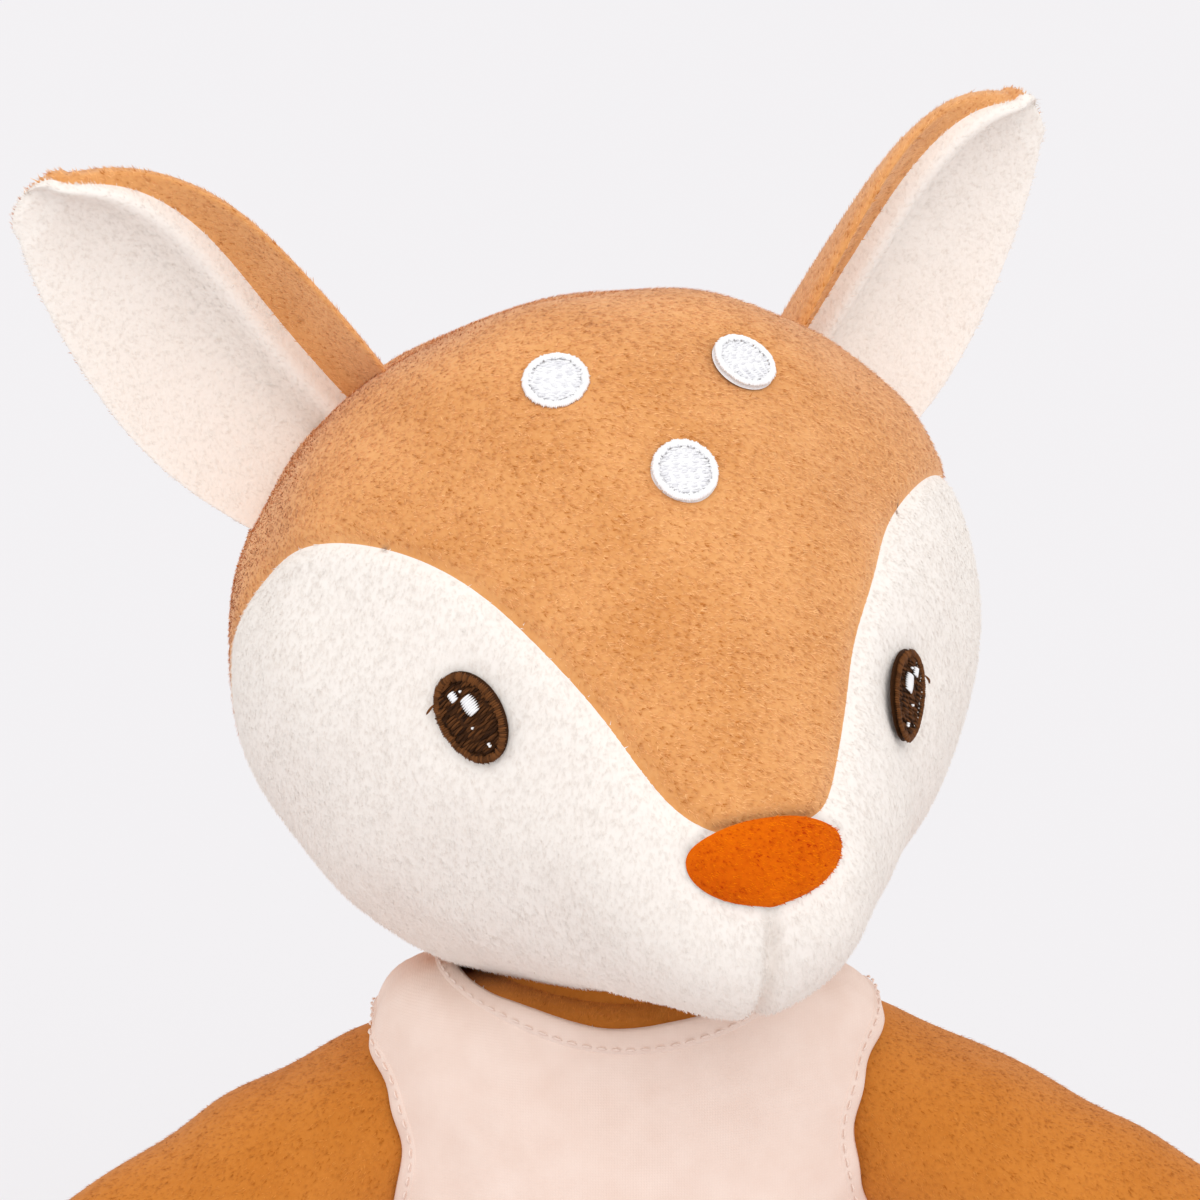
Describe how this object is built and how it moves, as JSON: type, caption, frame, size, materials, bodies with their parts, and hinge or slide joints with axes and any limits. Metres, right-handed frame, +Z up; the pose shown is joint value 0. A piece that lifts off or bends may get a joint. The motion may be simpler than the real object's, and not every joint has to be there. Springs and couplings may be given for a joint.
{
  "type": "plush fawn toy",
  "caption": "Seated plush fawn with a big turned head, cupped ears, embroidered eyes and spots, soft arms and legs with hoof ends, a small tail, in a sleeveless cotton romper.",
  "frame": {"origin": "middle of the seat's flat face, on the surface that the toy sits on", "axes": "+Z up, -Y the way the body faces, +X the toy's own left side"},
  "size_m": [0.2231, 0.1759, 0.2375],
  "materials": {
    "caramel_plush": "short caramel-brown pile",
    "cream_plush": "short cream pile",
    "nose_plush": "short orange pile",
    "romper_cotton": "matte pale blush cotton",
    "white_thread": "satin-stitched white thread",
    "dark_thread": "satin-stitched dark brown thread",
    "stuffing_fibre": "white polyester fibre",
    "pellet_bag_cloth": "plain woven bag",
    "button_resin": "matte blush resin"
  },
  "bodies": {
    "torso": {"romper_front": "romper_cotton", "romper_back": "romper_cotton", "torso_cover": "caramel_plush", "torso_stuffing": "stuffing_fibre", "seat_pellet_bag": "pellet_bag_cloth", "back_button_upper": "button_resin", "back_button_lower": "button_resin"},
    "neck": {"neck_cover": "caramel_plush", "neck_stuffing": "stuffing_fibre"},
    "head": {"head_stuffing": "stuffing_fibre", "crown_panel": "caramel_plush", "head_back_left": "caramel_plush", "head_back_right": "caramel_plush", "cheek_left": "cream_plush", "cheek_right": "cream_plush", "nose_patch": "nose_plush", "eye_left": "dark_thread", "eye_right": "dark_thread", "spot_left": "white_thread", "spot_right": "white_thread", "spot_middle": "white_thread"},
    "ear_left": {"ear_back_left": "caramel_plush", "ear_lining_left": "cream_plush"},
    "arm_left": {"arm_cover_left": "caramel_plush", "arm_hoof_left": "cream_plush", "arm_stuffing_left": "stuffing_fibre"},
    "leg_left": {"leg_cover_left": "caramel_plush", "leg_hoof_left": "cream_plush", "leg_stuffing_left": "stuffing_fibre"},
    "ear_right": {"ear_back_right": "caramel_plush", "ear_lining_right": "cream_plush"},
    "arm_right": {"arm_cover_right": "caramel_plush", "arm_hoof_right": "cream_plush", "arm_stuffing_right": "stuffing_fibre"},
    "leg_right": {"leg_cover_right": "caramel_plush", "leg_hoof_right": "cream_plush", "leg_stuffing_right": "stuffing_fibre"},
    "tail": {"tail_top": "caramel_plush", "tail_underside": "cream_plush"}
  },
  "joints": [
    {"name": "neck_turn", "type": "hinge", "parent": "torso", "child": "neck", "pos_m": [0, 0, 0.122], "axis": [0, 0, 1], "range_deg": [-48, 12]},
    {"name": "head_nod", "type": "hinge", "parent": "neck", "child": "head", "pos_m": [0, 0, 0.122], "axis": [0.9487, 0.309, 0.0663], "range_deg": [-5, 7.5]},
    {"name": "ear_fold_left", "type": "hinge", "parent": "head", "child": "ear_left", "pos_m": [0.0287, 0.0153, 0.2004], "axis": [-0.4776, -0.535, 0.6969], "range_deg": [-15, 15]},
    {"name": "arm_swing_left", "type": "hinge", "parent": "torso", "child": "arm_left", "pos_m": [0.032, 0.001, 0.103], "axis": [0, -1, 0], "range_deg": [-12, 50]},
    {"name": "leg_swing_left", "type": "hinge", "parent": "torso", "child": "leg_left", "pos_m": [0.024, -0.027, 0.0214], "axis": [-1, 0, 0], "range_deg": [-40, 25]},
    {"name": "ear_fold_right", "type": "hinge", "parent": "head", "child": "ear_right", "pos_m": [-0.0418, -0.0077, 0.1955], "axis": [0.6081, -0.1814, 0.7728], "range_deg": [-15, 15]},
    {"name": "arm_swing_right", "type": "hinge", "parent": "torso", "child": "arm_right", "pos_m": [-0.032, 0.001, 0.1], "axis": [0, 1, 0], "range_deg": [-12, 50]},
    {"name": "leg_swing_right", "type": "hinge", "parent": "torso", "child": "leg_right", "pos_m": [-0.024, -0.027, 0.0214], "axis": [-1, 0, 0], "range_deg": [-40, 25]},
    {"name": "tail_swing", "type": "hinge", "parent": "torso", "child": "tail", "pos_m": [0, 0.0378, 0.033], "axis": [1, 0, 0], "range_deg": [-20, 8]}
  ]
}
